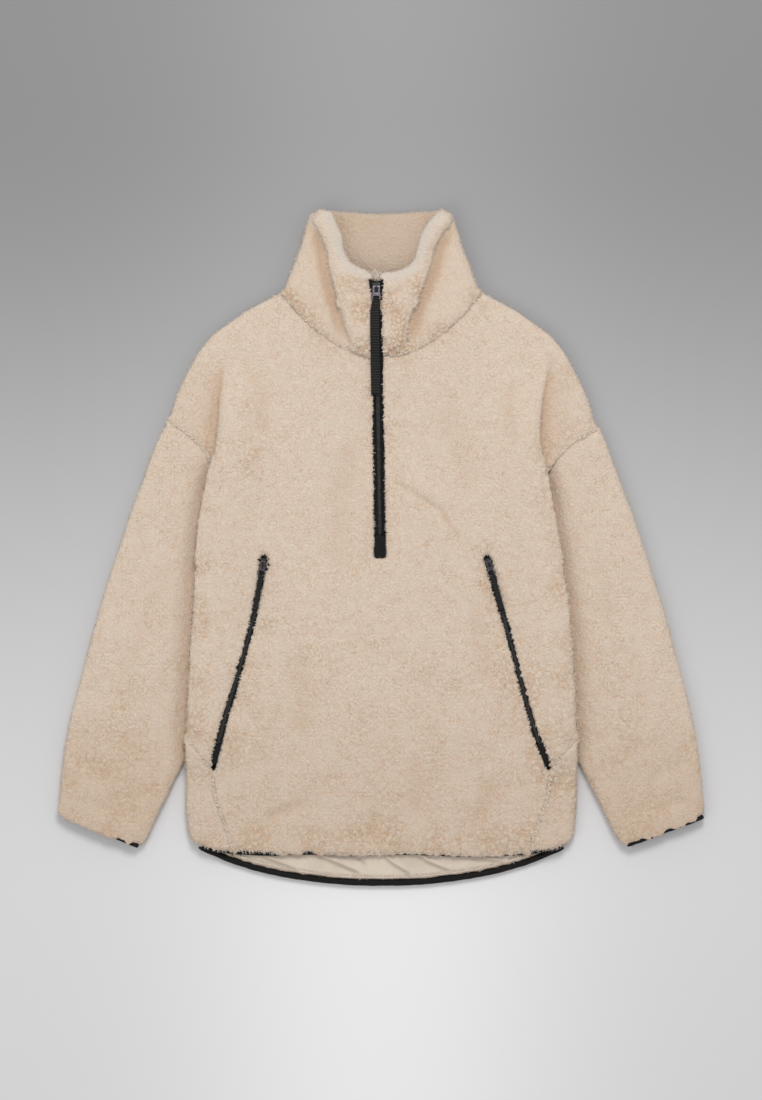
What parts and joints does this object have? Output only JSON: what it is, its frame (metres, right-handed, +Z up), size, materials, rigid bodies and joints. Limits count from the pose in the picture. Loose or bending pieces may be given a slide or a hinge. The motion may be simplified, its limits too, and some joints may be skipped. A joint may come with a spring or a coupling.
{
  "type": "sherpa fleece half-zip pullover",
  "caption": "Oversized sherpa fleece pullover laid flat, with a stand-up collar, a half-length neck zip with a ribbon pull, and zipped side pockets.",
  "frame": {"origin": "on the surface the garment lies on, under the middle of its bounding box", "axes": "+Z up off the surface, +Y from the hem to the collar, +X to the right as seen from above"},
  "size_m": [0.8058, 0.8449, 0.0406],
  "materials": {
    "sherpa": "curly pile fleece",
    "lining": "smooth woven, soft sheen",
    "black_trim": "matt woven tape and ribbed webbing",
    "gunmetal": "dark plated, satin"
  },
  "bodies": {
    "garment": {"front_panel": "sherpa", "back_panel": "sherpa", "collar": "sherpa", "side_gusset_left": "sherpa", "side_gusset_right": "sherpa", "sleeve_left": "sherpa", "sleeve_right": "sherpa", "back_lining": "lining", "hem_binding_back": "black_trim", "hem_binding_front": "black_trim", "cuff_binding_left": "black_trim", "cuff_binding_right": "black_trim", "neck_zip_tape": "black_trim", "neck_zip_patch": "black_trim", "pocket_zip_left_tape": "black_trim", "pocket_zip_left_patch": "black_trim", "pocket_zip_right_tape": "black_trim", "pocket_zip_right_patch": "black_trim", "neck_zip_slider": "gunmetal", "pocket_zip_left_slider": "gunmetal", "pocket_zip_right_slider": "gunmetal"},
    "neck_pull": {"neck_zip_pull": "gunmetal", "neck_zip_ribbon": "black_trim"},
    "pocket_left_pull": {"pocket_zip_left_pull": "gunmetal", "pocket_zip_left_ribbon": "black_trim"},
    "pocket_right_pull": {"pocket_zip_right_pull": "gunmetal", "pocket_zip_right_ribbon": "black_trim"}
  },
  "joints": [
    {"name": "neck_pull_hinge", "type": "hinge", "parent": "garment", "child": "neck_pull", "pos_m": [-0.00638, 0.325, 0.0383], "axis": [-1, 0, 0], "range_deg": [0, 150]},
    {"name": "pocket_left_pull_hinge", "type": "hinge", "parent": "garment", "child": "pocket_left_pull", "pos_m": [-0.1473, -0.017, 0.0213], "axis": [-0.9857, 0.1687, 0], "range_deg": [0, 150]},
    {"name": "pocket_right_pull_hinge", "type": "hinge", "parent": "garment", "child": "pocket_right_pull", "pos_m": [0.13348, -0.017, 0.02157], "axis": [-0.9637, -0.267, 0], "range_deg": [0, 150]}
  ]
}
